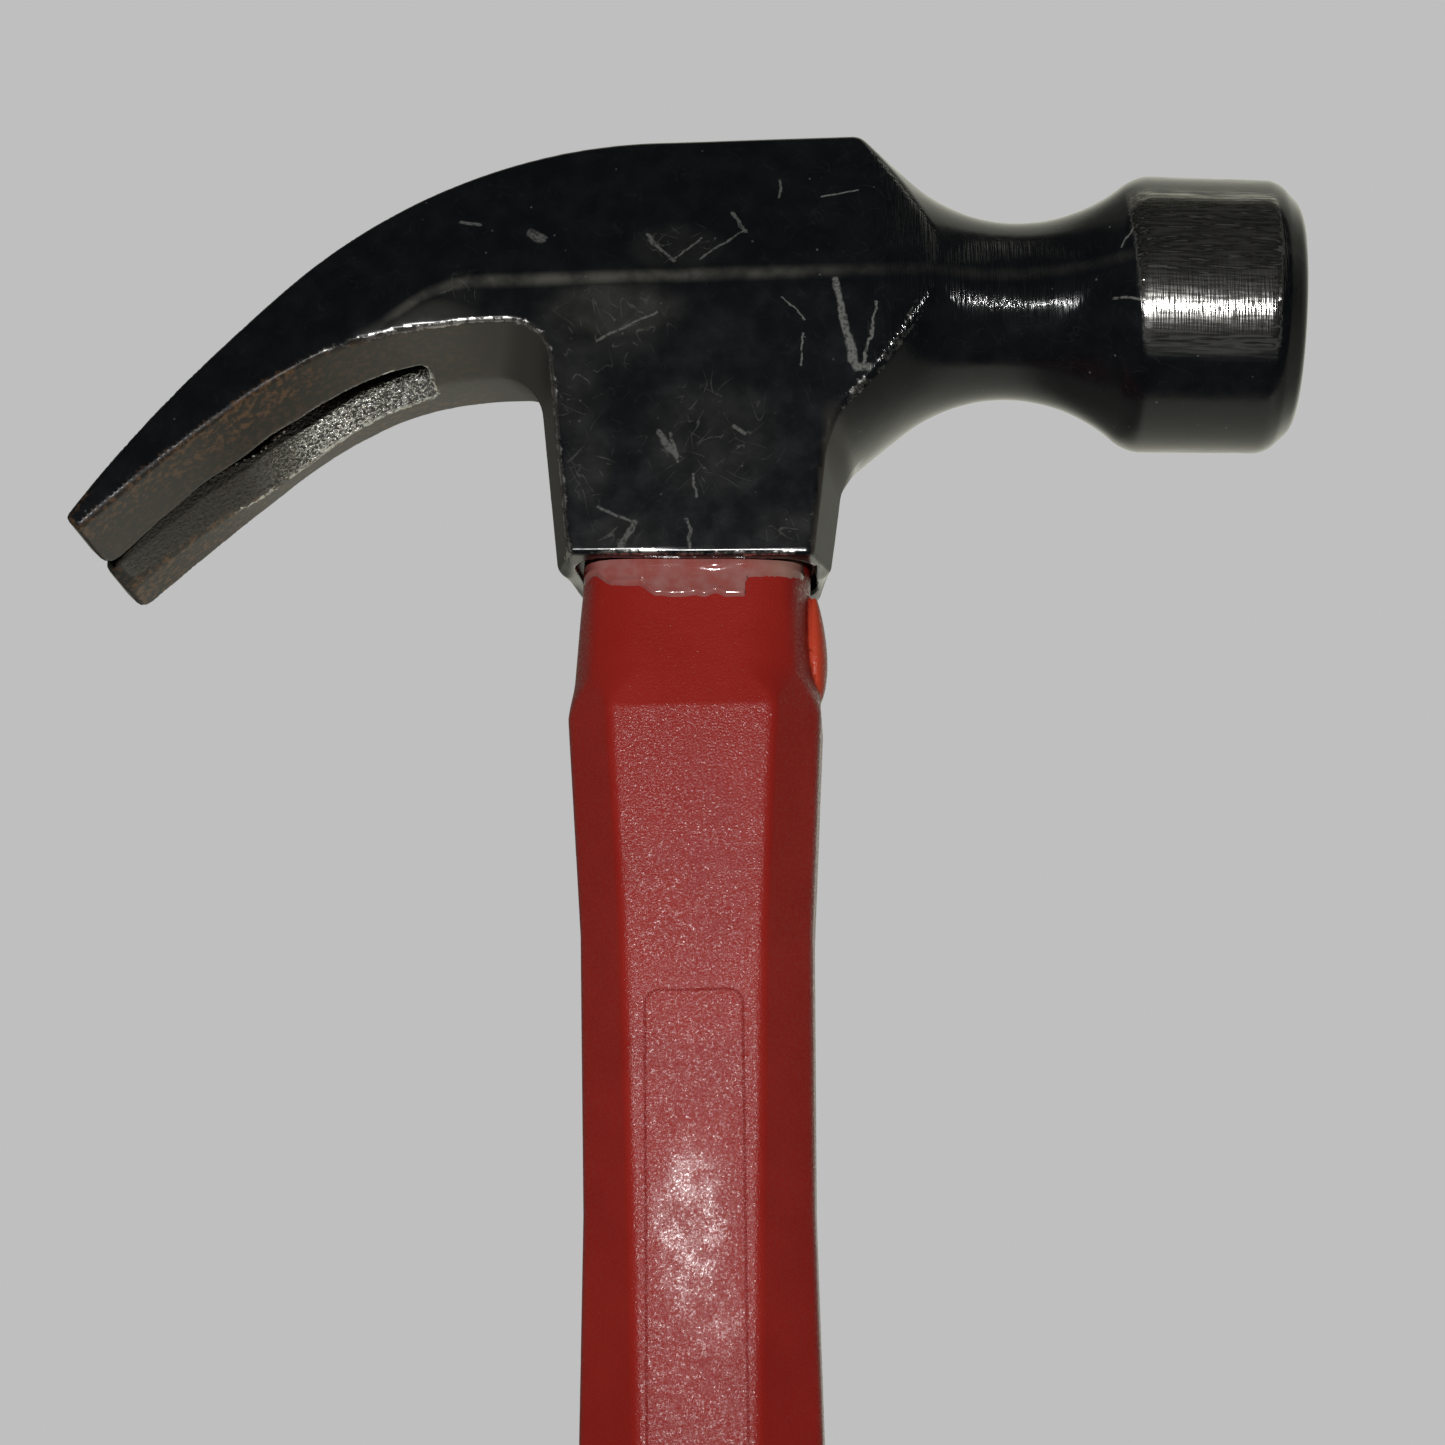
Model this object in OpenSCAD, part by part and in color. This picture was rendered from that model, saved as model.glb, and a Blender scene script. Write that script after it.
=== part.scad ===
// Curved-claw carpenter's hammer: forged head on a jacketed fibreglass handle.
// Millimetres. Z runs up the handle from the middle of its flat butt end, the
// striking face looks along +X and the claws point along -X.

/* [Overall] */
// Length from the butt end of the grip to the flat top of the head
total_length = 330; // [300:1:360]
// Length of the black rubber grip
grip_length = 150; // [130:1:160]

/* [Head body] */
// Height of the head from its flat top to the mouth of the socket
head_height = 46.9; // [44:0.1:50]
// Height of the slanted upper sides, from the ridge line to the flat top
upper_height = 16.4; // [15:0.1:18]
// Half of the head's thickness at the ridge line
ridge_half = 12; // [11:0.1:13]
// Half of the head's thickness at the flat top
top_half = 8.55; // [8:0.05:10]
// Half of the cheeks' thickness at the socket mouth
mouth_half = 10.2; // [9.8:0.1:11]
// Where the flat top ends on the claw side
top_left_x = -3; // [-6:0.5:0]

/* [Claws] */
// Radius of the claws' upper curve beside the flat top
back_r = 55.5; // [50:0.5:60]
// Angle of that curve
back_sweep = 45.8; // [42:0.1:48]
// Radius of the nearly straight upper curve towards the tips
tip_back_r = 242.5; // [200:1:300]
// Angle of that curve
tip_back_sweep = 8; // [7:0.1:9]
// Radius of the claws' underside
belly_r = 41.5; // [38:0.5:45]
// Angle of the underside's curve
belly_sweep = 38.8; // [36:0.1:41]
// Radius of the nearly straight underside towards the tips
tip_belly_r = 415.7; // [300:1:500]
// Angle of that curve
tip_belly_sweep = 2.8; // [2:0.1:3]
// Where the underside's curve starts, beside the throat
belly_x = -21; // [-23:0.5:-20]
// Height of the underside there, from the ridge line
belly_z = -4.8; // [-6:0.1:-4]
// Radius of the throat between the claws and the socket
throat_r = 4.7; // [3:0.1:5]
// Half of the claws' width at the tips
claw_half = 14; // [12.5:0.1:14.5]

/* [Nail slot] */
// Half width of the slot through the claws at its root
slot_root_half = 1.2; // [1:0.1:1.6]
// Half width of the slot through the claws at the tips
slot_tip_half = 2.6; // [2.3:0.1:3]
// Half width of the bevelled groove at the root
groove_root_half = 5; // [4:0.1:5.5]
// Half width of the bevelled groove in the middle of the claws
groove_mid_half = 7; // [5.5:0.1:7.2]
// Half width of the bevelled groove at the tips
groove_tip_half = 5.1; // [4.5:0.1:6]
// Depth at which the groove narrows to the slot
groove_depth = 7; // [6:0.1:8]

/* [Poll] */
// Downward tilt of the poll's axis
poll_tilt = 3.2; // [0:0.1:4]
// Smallest radius of the neck
neck_r = 9.45; // [9:0.05:10.5]
// Distance of the neck's waist from the handle's axis
waist_x = 34; // [33:0.5:35]
// Radius of the neck's hollow curve
hollow_r = 17.5; // [17:0.1:18]
// Half angle of the cone where the neck opens onto the cheeks
flare_angle = 40.4; // [38:0.1:42]
// Radius of the bell
bell_r = 14.7; // [14:0.1:15.5]
// Distance of the striking face's edge from the handle's axis
face_x = 64.2; // [62:0.1:66]
// Width of the bevel round the face
face_bevel = 2.9; // [2:0.1:3.5]
// Height of the face's crown
face_crown = 0.6; // [0.3:0.1:1]

/* [Eye] */
// Half length of the eye along the head at the socket mouth
eye_half_x = 12.4; // [12:0.1:12.6]
// Half width of the eye across the head at the socket mouth
eye_half_y = 8.5; // [8:0.1:8.7]
// Half width of the eye across the head at the top
eye_top_half_y = 6.3; // [6:0.1:6.6]
// Corner radius of the eye
eye_corner = 4; // [3:0.1:5]

/* [Handle] */
// Half width of the fibreglass rod along the head
rod_half_x = 8.5; // [7:0.1:9]
// Half width of the fibreglass rod across the head
rod_half_y = 4.3; // [4:0.1:4.8]
// Depth of the jacket inside the socket
tenon_depth = 17; // [12:0.5:20]
// Half width of the jacket at its shoulder
shoulder_half = 13.2; // [12.5:0.1:14]
// Half width of the jacket at its narrowest
waist_half = 11.7; // [11:0.1:12.2]
// Half depth of the jacket's front and back flats
flat_half_y = 10; // [9:0.1:11]
// Half depth of the jacket at its shoulder
shoulder_half_y = 10.8; // [10.2:0.1:11.5]
// Width of the blank label panel
label_w = 10.6; // [9:0.1:12]
// Length of the blank label panel
label_l = 60; // [40:1:65]
// Depth of the blank label panel
label_depth = 0.3; // [0.2:0.05:0.5]

/* [Grip] */
// Half width of the butt
butt_half = 17; // [16:0.1:19]
// Half depth of the butt
butt_half_y = 14.2; // [13:0.1:16]
// Half width of the grip where the hand closes
hold_half = 15.4; // [14.5:0.1:16]
// Half depth of the grip where the hand closes
hold_half_y = 13; // [12.2:0.1:14]
// Half width of the collar at the grip's upper end
collar_half = 15; // [14.4:0.1:16]
// Half depth of the collar
collar_half_y = 12.8; // [12.2:0.1:14]

/* [Hidden] */

$fn = 48;
eps = 0.01;
ridge_z = total_length - upper_height;       // height of the ridge line on the handle's axis
mouth_z = upper_height - head_height;        // socket mouth, from the ridge line
tilt_x = 19;                                 // where the poll's axis crosses the ridge level
slant = atan((ridge_half - top_half) / upper_height);
claw_lean = 1.72;                            // how the claws' sides turn in towards the throat
claw_start_x = -13;                          // end of the block on the claw side
block_end_x = 14.5;                          // end of the block on the poll side
flare_x = 11;                                // start of the flare, inside the block
sides_end_x = 28;                            // where the neck is clear of the block's sides
ring_proud = 0.1;                            // how far the flare's outlines stand proud of the neck
cheek_end_x = -33;                           // end of the flat cheek on the claw side
throat_x = belly_x + 1.7;
wall_x = throat_x + throat_r;                // claw side of the socket
throat_z = belly_z - throat_r;
resin_gap = 2.5;                             // unfilled depth at the socket mouth
rod_top = total_length - 0.9;
rod_bottom = 12;
jacket_bottom = 6;
jacket_low_half = 12.6;                      // half width of the jacket where the grip starts
shoulder_z = -45;                            // these heights are from the ridge line
neck_z = -75;
waist_z = -97;
label_z = -73;

// points on an arc about [cx, cy], from angle a to angle b
function arc(cx, cy, r, a, b, n) =
    [for (i = [0:n]) [cx + r * cos(a + (b - a) * i / n), cy + r * sin(a + (b - a) * i / n)]];
// centre of a second arc that carries on smoothly from a first one at angle a
function next_centre(c, r, a, r2) = [c[0] + (r - r2) * cos(a), c[1] + (r - r2) * sin(a)];

back_c = [top_left_x, upper_height - back_r];
back_a = 90 + back_sweep;
tip_back_c = next_centre(back_c, back_r, back_a, tip_back_r);
belly_c = [belly_x, belly_z - belly_r];
belly_a = 90 + belly_sweep;
tip_belly_c = next_centre(belly_c, belly_r, belly_a, tip_belly_r);

// half of the groove's width at a depth below the underside
function groove_at(half, depth) = half + (slot_root_half - half) * depth / groove_depth;

module rounded_rect(half_x, half_y, r) {
    for (x = [-1, 1], y = [-1, 1])
        translate([x * (half_x - r), y * (half_y - r)]) circle(r);
    square([2 * half_x, 2 * (half_y - r)], center = true);
    square([2 * (half_x - r), 2 * half_y], center = true);
}

module slice(z, h = eps) {
    translate([0, 0, z]) linear_extrude(h) children();
}

// the octagon of the jacket: flats at front and back, bevels at the corners
module octagon(half_x, half_y, flat_half, side_half) {
    polygon([
        [flat_half, half_y], [half_x, side_half], [half_x, -side_half], [flat_half, -half_y],
        [-flat_half, -half_y], [-half_x, -side_half], [-half_x, side_half], [-flat_half, half_y]
    ]);
}

// ---- head ----

// the half space beyond one slanted upper side
module side_cutter(lean) {
    translate([claw_start_x, ridge_half, 0]) rotate([0, 0, lean]) rotate([slant, 0, 0])
        translate([-90, 0, -60]) cube([180, 20, 120]);
}

// side view of claws and block
module head_outline() {
    polygon(concat(
        [[block_end_x, upper_height]],
        arc(back_c[0], back_c[1], back_r, 90, back_a, 12),
        arc(tip_back_c[0], tip_back_c[1], tip_back_r, back_a + 1, back_a + tip_back_sweep, 4),
        arc(tip_belly_c[0], tip_belly_c[1], tip_belly_r, belly_a + tip_belly_sweep, belly_a, 3),
        arc(belly_c[0], belly_c[1], belly_r, belly_a - belly_sweep / 10, 90, 9),
        arc(throat_x, throat_z, throat_r, 90, 0, 5),
        [[wall_x, throat_z - 7], [block_end_x, throat_z - 7]]
    ));
}

module head_slab(x0, x1, half) {
    intersection() {
        translate([0, half, 0]) rotate([90, 0, 0]) linear_extrude(2 * half) head_outline();
        translate([x0, -20, -60]) cube([x1 - x0, 40, 100]);
    }
}

// cross-section of the block: slanted upper sides and tapering cheeks
module block_section() {
    polygon([
        [upper_height, top_half], [0, ridge_half], [mouth_z, mouth_half],
        [mouth_z, -mouth_half], [0, -ridge_half], [upper_height, -top_half]
    ]);
}

// everything outside the block's cross-section, from the claws to the neck
module block_sides() {
    difference() {
        translate([cheek_end_x, -40, -60]) cube([sides_end_x - cheek_end_x, 80, 120]);
        translate([cheek_end_x - 1, 0, 0]) rotate([0, 90, 0]) mirror([1, 0, 0])
            linear_extrude(sides_end_x - cheek_end_x + 2) block_section();
    }
}

module block_and_poll() {
    difference() {
        union() {
            head_slab(cheek_end_x, block_end_x, claw_half);
            socket_skirt();
            poll();
        }
        block_sides();
        for (side = [0, 1]) mirror([0, side, 0]) difference() {
            side_cutter(claw_lean);
            translate([claw_start_x, -30, -60]) cube([90, 60, 120]);
        }
    }
}

module claws() {
    difference() {
        head_slab(-80, cheek_end_x + 1, claw_half);
        for (side = [0, 1]) mirror([0, side, 0]) side_cutter(claw_lean);
    }
}

// a point [radius, distance] of the neck's hollow, at angle a from its waist
function hollow_at(a) = [neck_r + hollow_r * (1 - cos(a)), waist_x + hollow_r * sin(a)];
flare_end = hollow_at(-flare_angle);
neck_start = hollow_at(-flare_angle / 3);
bell_a = acos(1 - (bell_r - neck_r) / hollow_r);

// an outline round the poll's axis at a point [radius, distance], a little proud of the neck
module flare_ring(point) {
    slice(point[1]) circle(point[0] + ring_proud, $fn = 32);
}

// the flare from the block down to the neck, in straight stretches
module flare() {
    hull() {
        flare_ring([flare_end[0] + (flare_end[1] - flare_x) * tan(flare_angle), flare_x]);
        flare_ring(flare_end);
    }
    hull() {
        flare_ring(flare_end);
        flare_ring(hollow_at(-flare_angle * 2 / 3));
    }
    hull() {
        flare_ring(hollow_at(-flare_angle * 2 / 3));
        flare_ring(neck_start);
    }
}

// neck, bell and crowned face
module neck_and_bell() {
    face_r = bell_r - face_bevel;
    crown_r = (face_r * face_r + face_crown * face_crown) / (2 * face_crown);
    crown_a = asin(face_r / crown_r);
    rotate_extrude() polygon(concat(
        [[0, neck_start[1] - 1], [neck_start[0], neck_start[1] - 1]],
        [for (i = [0:10]) hollow_at(-flare_angle / 3 + (bell_a + flare_angle / 3) * i / 10)],
        [[bell_r, face_x - face_bevel]],
        [for (i = [0:5]) let (a = crown_a * (1 - i / 5))
            [crown_r * sin(a), face_x + face_crown - crown_r * (1 - cos(a))]]
    ));
}

// the poll, turned about its tilted axis
module poll() {
    translate([tilt_x, 0, 0]) rotate([0, 90 + poll_tilt, 0]) translate([0, 0, -tilt_x]) {
        flare();
        neck_and_bell();
    }
}

module mouth_section(edge_x, mid_x) {
    polygon([
        [edge_x, claw_half], [mid_x, 0], [edge_x, -claw_half],
        [-edge_x, -claw_half], [-mid_x, 0], [-edge_x, claw_half]
    ]);
}

// the skirt round the socket, with a parting ridge down each end
module socket_skirt() {
    hull() {
        slice(mouth_z) mouth_section(12.1, 14.3);
        slice(belly_z - 0.2) mouth_section(14.9, 16.9);
    }
}

module eye() {
    hull() {
        slice(mouth_z - 1) rounded_rect(eye_half_x, eye_half_y, eye_corner, $fn = 32);
        slice(upper_height + 1) rounded_rect(eye_half_x, eye_top_half_y, eye_corner, $fn = 32);
    }
}

// one thin cross-section of the bevelled groove, square to the underside at angle a
module groove_slice(centre, r, a, half) {
    translate([centre[0] + r * cos(a), 0, centre[1] + r * sin(a)]) rotate([0, -a, 0])
        translate([0, 0, -eps / 2]) linear_extrude(eps)
            polygon([
                [-4, groove_at(half, -4)], [groove_depth, slot_root_half],
                [groove_depth, -slot_root_half], [-4, -groove_at(half, -4)]
            ]);
}

module nail_slot() {
    root_a = belly_a - 27.7;
    end_a = belly_a + tip_belly_sweep + 0.6;
    hull() {
        groove_slice(belly_c, belly_r, root_a, groove_root_half);
        groove_slice(belly_c, belly_r, belly_a, groove_mid_half);
    }
    hull() {
        groove_slice(belly_c, belly_r, belly_a, groove_mid_half);
        groove_slice(tip_belly_c, tip_belly_r, end_a, groove_tip_half);
    }
    root_x = belly_c[0] + belly_r * cos(root_a);
    translate([0, 0, -50]) linear_extrude(80) polygon([
        [root_x, slot_root_half], [-70, slot_tip_half], [-70, -slot_tip_half], [root_x, -slot_root_half]
    ]);
}

module head() {
    color("#26282c") translate([0, 0, ridge_z]) difference() {
        union() {
            block_and_poll();
            claws();
        }
        eye();
        nail_slot();
    }
}

// ---- handle ----

module rod(z0, z1) {
    slice(z0, z1 - z0) rounded_rect(rod_half_x, rod_half_y, rod_half_y - 0.1);
}

module core_rod() {
    color("#c9b88a") rod(rod_bottom, rod_top);
}

module tenon() {
    gap = 0.4;
    shift = (eye_half_y - eye_top_half_y) * tenon_depth / head_height;
    hull() {
        slice(mouth_z - 2) rounded_rect(eye_half_x - gap, eye_half_y - gap, eye_corner, $fn = 32);
        slice(mouth_z + tenon_depth)
            rounded_rect(eye_half_x - gap, eye_half_y - gap - shift, eye_corner, $fn = 32);
    }
}

// the moulded body below the head, one straight stretch after another
module jacket_body() {
    low_z = grip_length - ridge_z;
    hull() {
        slice(mouth_z - 2) rounded_rect(eye_half_x - 0.4, eye_half_y - 0.4, eye_corner, $fn = 32);
        slice(shoulder_z) octagon(shoulder_half, shoulder_half_y, 8.4, 5.4);
    }
    hull() {
        slice(shoulder_z) octagon(shoulder_half, shoulder_half_y, 8.4, 5.4);
        slice(neck_z + 6) octagon(waist_half + 0.3, flat_half_y, 7.1, 5);
    }
    hull() {
        slice(neck_z + 6) octagon(waist_half + 0.3, flat_half_y, 7.1, 5);
        slice(waist_z) octagon(waist_half, flat_half_y, 6.4, 4.8);
    }
    hull() {
        slice(waist_z) octagon(waist_half, flat_half_y, 6.4, 4.8);
        slice(low_z) octagon(jacket_low_half, flat_half_y, 5.6, 4.6);
    }
    slice(jacket_bottom - ridge_z, low_z - jacket_bottom + ridge_z + eps)
        octagon(jacket_low_half - 1.4, flat_half_y - 1.4, 5.6, 4);
}

// drip of flash left on the poll side of the neck
module flash_drip() {
    hull() {
        translate([12.2, -2, mouth_z - 3]) sphere(0.7, $fn = 20);
        translate([12.5, -2.4, mouth_z - 8]) sphere(1.6, $fn = 20);
        translate([12.4, -2, mouth_z - 12]) sphere(0.8, $fn = 20);
    }
}

module handle_jacket() {
    color("#8f241f") translate([0, 0, ridge_z]) difference() {
        union() {
            jacket_body();
            tenon();
            flash_drip();
        }
        rod(rod_bottom - ridge_z, upper_height);
        translate([0, -flat_half_y + label_depth, label_z - label_l / 2]) rotate([90, 0, 0])
            linear_extrude(2) rounded_rect(label_w / 2, label_l / 2, 1.2);
    }
}

// cast resin between the rod, the jacket and the wall of the eye
module eye_resin() {
    color("#7a3f3a") translate([0, 0, ridge_z]) difference() {
        intersection() {
            eye();
            slice(mouth_z + resin_gap, head_height - resin_gap - 0.6) square(40, center = true);
        }
        tenon();
        rod(mouth_z, upper_height);
    }
}

// resin that ran out over the front of the neck, with a wavy lower edge
module resin_run() {
    half = 11;
    thick = 0.5;
    drop = 4.3;
    front = eye_half_y - 0.4;
    lean = atan((shoulder_half_y - front) / (mouth_z - 2 - shoulder_z));
    color("#a86058") translate([0, -front, ridge_z + mouth_z]) rotate([90 - lean, 0, 0])
        linear_extrude(thick) polygon(concat(
            [[half - 1.5, -0.3], [-half + 1.5, -0.3]],
            [for (x = [-half + 1.5:1:half - 1.5])
                [x, -drop * (0.55 + 0.35 * cos(x * 10) + 0.1 * sin(x * 65))]]
        ));
}

// ---- grip ----

module grip_slice(z, half_x, half_y) {
    slice(z) rounded_rect(half_x, half_y, half_y - 1, $fn = 32);
}

module grip() {
    mid_z = 0.56 * grip_length;
    collar_z = grip_length - 15;
    color("#1d1d1f") difference() {
        union() {
            hull() {
                grip_slice(0, butt_half - 2, butt_half_y - 2);
                grip_slice(4, butt_half, butt_half_y);
                grip_slice(16, butt_half - 0.6, butt_half_y - 0.5);
            }
            hull() {
                grip_slice(16, butt_half - 0.6, butt_half_y - 0.5);
                grip_slice(40, hold_half - 0.8, hold_half_y - 0.6);
            }
            hull() {
                grip_slice(40, hold_half - 0.8, hold_half_y - 0.6);
                grip_slice(mid_z, hold_half, hold_half_y);
            }
            hull() {
                grip_slice(mid_z, hold_half, hold_half_y);
                grip_slice(collar_z, collar_half - 1, collar_half_y - 0.9);
            }
            hull() {
                grip_slice(collar_z, collar_half - 1, collar_half_y - 0.9);
                grip_slice(grip_length - 5, collar_half, collar_half_y);
                grip_slice(grip_length - eps, collar_half - 1.4, collar_half_y - 1.4);
            }
        }
        slice(jacket_bottom, grip_length) octagon(jacket_low_half - 1.4, flat_half_y - 1.4, 5.6, 4);
    }
}

head();
core_rod();
handle_jacket();
eye_resin();
resin_run();
grip();
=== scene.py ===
import math

import bpy
import numpy as np
from mathutils import Matrix, Vector


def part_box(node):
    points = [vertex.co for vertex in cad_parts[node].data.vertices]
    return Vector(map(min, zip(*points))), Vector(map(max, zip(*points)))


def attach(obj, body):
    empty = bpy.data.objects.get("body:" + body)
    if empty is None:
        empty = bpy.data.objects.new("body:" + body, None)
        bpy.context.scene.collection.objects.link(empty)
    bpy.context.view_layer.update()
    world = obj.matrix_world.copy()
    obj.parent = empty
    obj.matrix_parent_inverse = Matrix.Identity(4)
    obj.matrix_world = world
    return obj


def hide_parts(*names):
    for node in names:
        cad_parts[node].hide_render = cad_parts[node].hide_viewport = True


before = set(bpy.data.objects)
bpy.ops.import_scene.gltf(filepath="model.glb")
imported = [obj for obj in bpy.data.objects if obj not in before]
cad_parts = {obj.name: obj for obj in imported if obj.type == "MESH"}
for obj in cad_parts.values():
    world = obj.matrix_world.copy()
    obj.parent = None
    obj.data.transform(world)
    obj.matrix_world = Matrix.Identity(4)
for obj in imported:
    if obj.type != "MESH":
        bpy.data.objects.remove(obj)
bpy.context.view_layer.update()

MM = 0.001
HEAD_LOW, HEAD_HIGH = (np.array(v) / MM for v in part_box("head"))

# Shapes are worked out in millimetres in the head's own frame: its origin is on the handle's
# axis, level with the ridge line that runs along each side of the head.
UPPER = 16.4                      # ridge line to flat top
RIDGE_Z = HEAD_HIGH[2] - UPPER    # height of that frame above the butt
MOUTH = HEAD_LOW[2] - RIDGE_Z     # socket mouth


# ---------------------------------------------------------------- distance fields

def both(a, b, r):
    """What lies in both a and b, with the edge between them rounded to radius r."""
    u = np.maximum(r + a, 0.0)
    v = np.maximum(r + b, 0.0)
    return np.minimum(-r, np.maximum(a, b)) + np.hypot(u, v)


def either(a, b, r):
    """What lies in a or in b, with a fillet of radius r between them."""
    u = np.maximum(r - a, 0.0)
    v = np.maximum(r - b, 0.0)
    return np.maximum(r, np.minimum(a, b)) - np.hypot(u, v)


def step(x, low, high):
    """0 below low, 1 above high, smooth in between."""
    t = np.clip((x - low) / (high - low), 0.0, 1.0)
    return t * t * (3.0 - 2.0 * t)


NOISE_TABLE = 4096                 # random values that lattice_noise draws on, a power of two
NOISE_STRIDES = (73, 179, 283)     # primes that spread its cells over the table


def lattice_noise(x, y, z, seed):
    """Smooth noise from -1 to 1 with features one unit across."""
    rng = np.random.default_rng(seed)
    table = rng.uniform(-1.0, 1.0, NOISE_TABLE)

    def at(*cell):
        return table[sum(c * stride for c, stride in zip(cell, NOISE_STRIDES)) & (NOISE_TABLE - 1)]

    i, j, k = (np.floor(v).astype(np.int64) for v in (x, y, z))
    u, v, w = x - i, y - j, z - k
    u, v, w = (t * t * (3.0 - 2.0 * t) for t in (u, v, w))
    total = 0.0
    for di in (0, 1):
        for dj in (0, 1):
            for dk in (0, 1):
                weight = (u if di else 1 - u) * (v if dj else 1 - v) * (w if dk else 1 - w)
                total = total + weight * at(i + di, j + dj, k + dk)
    return total


def softened(x, places, values, reach):
    """values read off at x between places, with the corners softened over reach."""
    return sum(np.interp(x + k, places, values) for k in (-reach, 0.0, reach)) / 3


def circle_side(x, z, centre, radius):
    """Distance outside a circle in the side view, negative inside it."""
    return np.hypot(x - centre[0], z - centre[1]) - radius


def rounded_box(u, v, half_u, half_v, corner):
    """Distance outside a rectangle with rounded corners, negative inside it."""
    u = np.abs(u) - half_u + corner
    v = np.abs(v) - half_v + corner
    return np.hypot(np.maximum(u, 0), np.maximum(v, 0)) + np.minimum(np.maximum(u, v), 0) - corner


def carried_on(centre, radius, angle, next_radius):
    """Centre of an arc that carries on smoothly from another at angle."""
    gap = radius - next_radius
    return centre[0] + gap * math.cos(angle), centre[1] + gap * math.sin(angle)


# ---------------------------------------------------------------- meshes

CORNERS = [(c & 1, c >> 1 & 1, c >> 2 & 1) for c in range(8)]      # of a grid cell
EDGES = [(a, b) for a in range(8) for b in range(8) if a < b and bin(a ^ b).count("1") == 1]
SLAB = 16                     # grid layers worked out at a time, which saves memory
EVENING_ROUNDS = 3            # times that the points' spacing is evened out
SETTLE_TURNS = 2              # Newton steps that bring a point onto the surface
GRADIENT_REACH = 0.02         # how far each way those steps look, in mm


def surface(field, low, high, size):
    """The points and quads of a closed mesh on field's zero surface, from a grid of cells size mm across."""
    low, high = np.array(low, float), np.array(high, float)
    count = np.ceil((high - low) / size).astype(int) + 1
    axes = [low[k] + size * np.arange(count[k]) for k in range(3)]
    values = np.empty(count)
    for i in range(0, count[0], SLAB):
        x, y, z = np.meshgrid(axes[0][i:i + SLAB], axes[1], axes[2], indexing="ij")
        values[i:i + SLAB] = field(x, y, z)
    inside = values < 0
    cells = tuple(count - 1)
    filled = np.zeros(cells, np.int8)
    for a, b, c in CORNERS:
        filled += inside[a:a + cells[0], b:b + cells[1], c:c + cells[2]]
    where = np.argwhere((filled > 0) & (filled < len(CORNERS)))
    points = low + size * (where + crossing(values, where))
    index = np.full(cells, -1, np.int64)
    index[tuple(where.T)] = np.arange(len(where))
    quads = woven(inside, index)
    points = settle(field, points, size)
    for _ in range(EVENING_ROUNDS):
        points = settle(field, relaxed(field, points, quads), size)
    return points, quads


def crossing(values, where):
    """For each cell, the middle of the places where the zero surface cuts its edges, from its corner."""
    total = np.zeros((len(where), 3))
    hits = np.zeros(len(where))
    for a, b in EDGES:
        ca, cb = np.array(CORNERS[a]), np.array(CORNERS[b])
        fa = values[tuple((where + ca).T)]
        fb = values[tuple((where + cb).T)]
        cross = (fa < 0) != (fb < 0)
        t = np.where(cross, fa / np.where(cross, fa - fb, 1.0), 0.0)
        total += np.where(cross[:, None], ca + t[:, None] * (cb - ca), 0.0)
        hits += cross
    return total / hits[:, None]


def woven(inside, index):
    """A quad through the four cells round each grid edge that the surface cuts, facing out."""
    quads = []
    for axis in range(3):
        u, v = (axis + 1) % 3, (axis + 2) % 3
        first = [slice(1, -1)] * 3
        first[axis] = slice(0, -1)
        second = [slice(1, -1)] * 3
        second[axis] = slice(1, None)
        start, end = inside[tuple(first)], inside[tuple(second)]
        spots = np.argwhere(start != end) + [0 if k == axis else 1 for k in range(3)]
        leaves = start[start != end]
        ring = []
        for du, dv in ((0, 0), (-1, 0), (-1, -1), (0, -1)):
            cell = spots.copy()
            cell[:, u] += du
            cell[:, v] += dv
            ring.append(index[tuple(cell.T)])
        ring = np.stack(ring, 1)
        ring[~leaves] = ring[~leaves][:, ::-1]
        quads.append(ring)
    return np.concatenate(quads)


def unit(vectors):
    """The vectors scaled to length 1."""
    return vectors / np.maximum(np.linalg.norm(vectors, axis=1, keepdims=True), 1e-9)


def gradient(field, p, reach):
    """Which way field rises at points p, and how fast."""
    parts = []
    for k in range(3):
        ahead, behind = p.copy(), p.copy()
        ahead[:, k] += reach
        behind[:, k] -= reach
        parts.append((field(*ahead.T) - field(*behind.T)) / (2 * reach))
    return np.stack(parts, 1)


def settle(field, p, size):
    """Moves points onto the zero surface, half a cell at most in one step."""
    for _ in range(SETTLE_TURNS):
        g = gradient(field, p, GRADIENT_REACH)
        square = np.maximum((g * g).sum(1), 0.05)
        move = -(field(*p.T) / square)[:, None] * g
        length = np.linalg.norm(move, axis=1, keepdims=True)
        p = p + move * np.minimum(1.0, 0.5 * size / np.maximum(length, 1e-9))
    return p


def relaxed(field, p, quads):
    """The points moved along the surface, halfway to the middle of their neighbours."""
    total = np.zeros_like(p)
    hits = np.zeros(len(p))
    for k in range(4):
        a, b = quads[:, k], quads[:, (k + 1) % 4]
        np.add.at(total, a, p[b])
        np.add.at(total, b, p[a])
        np.add.at(hits, a, 1)
        np.add.at(hits, b, 1)
    normal = unit(gradient(field, p, 0.05))
    move = total / hits[:, None] - p
    move -= (move * normal).sum(1, keepdims=True) * normal
    return p + 0.5 * move


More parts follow.
